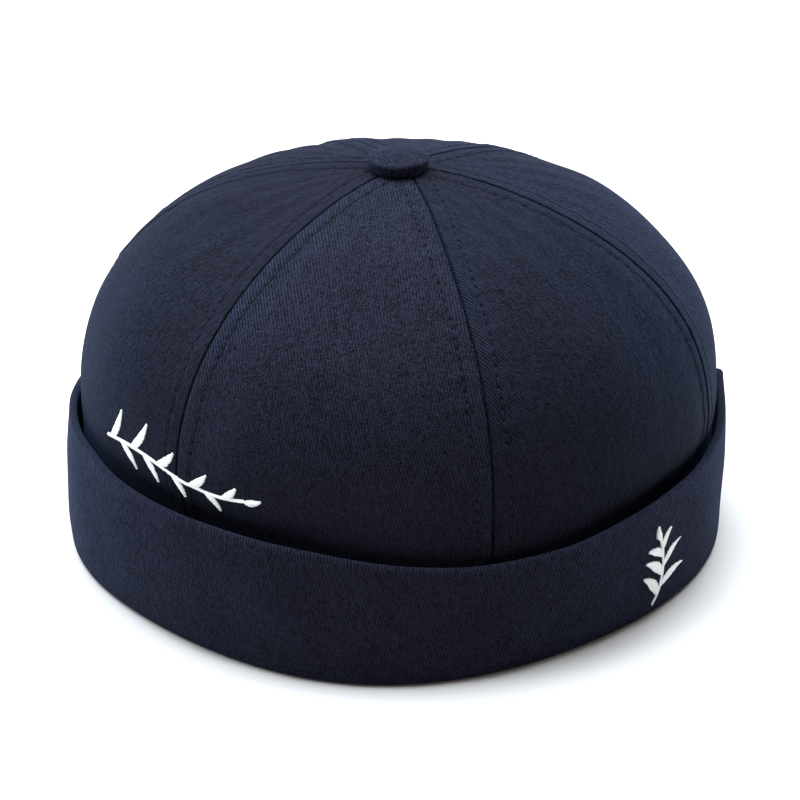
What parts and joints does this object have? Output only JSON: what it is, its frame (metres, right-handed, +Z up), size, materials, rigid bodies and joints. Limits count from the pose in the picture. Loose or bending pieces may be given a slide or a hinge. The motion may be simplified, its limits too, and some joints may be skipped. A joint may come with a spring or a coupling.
{
  "type": "docker cap",
  "caption": "Brimless cap with a deep sewn dome crown, a covered button at the apex and a turned-up cuff that it rests on.",
  "frame": {"origin": "under the middle of the cap, on the surface that it rests on", "axes": "+Z up through the button, -Y towards the front seam, +X towards the right of a viewer who faces the front"},
  "size_m": [0.1938, 0.1932, 0.1184],
  "materials": {
    "navy_twill": "navy cotton twill, steep diagonal wale, matt with a soft sheen",
    "cuff_twill": "the same navy cotton twill, doubled and pressed into a rolled rim"
  },
  "bodies": {
    "root": {"crown_panel_1": "navy_twill", "crown_panel_2": "navy_twill", "crown_panel_3": "navy_twill", "crown_panel_4": "navy_twill", "crown_panel_5": "navy_twill", "crown_panel_6": "navy_twill", "button": "navy_twill", "cuff": "cuff_twill"}
  },
  "joints": []
}
